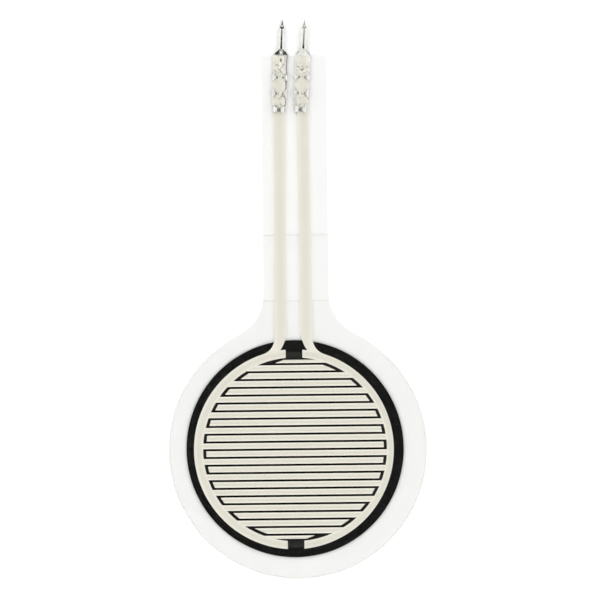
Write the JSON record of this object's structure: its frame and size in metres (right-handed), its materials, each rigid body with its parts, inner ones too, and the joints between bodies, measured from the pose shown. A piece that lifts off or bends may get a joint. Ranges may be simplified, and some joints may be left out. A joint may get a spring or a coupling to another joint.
{
  "type": "force sensing resistor",
  "caption": "Thin round film pressure sensor with interleaved silver fingers over a carbon disc, a long clear flat tail and crimped solder pins.",
  "frame": {"origin": "centre of the round head, on the lower face of the mounting adhesive", "axes": "+Y along the tail towards the pins, +Z out of the sensing face"},
  "size_m": [0.0296, 0.0643, 0.0008],
  "materials": {
    "adhesive": "clear, slightly hazy",
    "rear_film": "clear gloss",
    "carbon_ink": "smooth, seen through film",
    "spacer_adhesive": "clear, slightly yellow",
    "silver_ink": "satin, seen through film",
    "front_film": "clear gloss",
    "tinned_metal": "bright tin plate"
  },
  "bodies": {
    "root": {"mounting_adhesive": "adhesive", "rear_film": "rear_film", "carbon_disc": "carbon_ink", "spacer": "spacer_adhesive", "left_electrode": "silver_ink", "right_electrode": "silver_ink", "front_film": "front_film", "left_solder_tab": "tinned_metal", "right_solder_tab": "tinned_metal"}
  },
  "joints": []
}
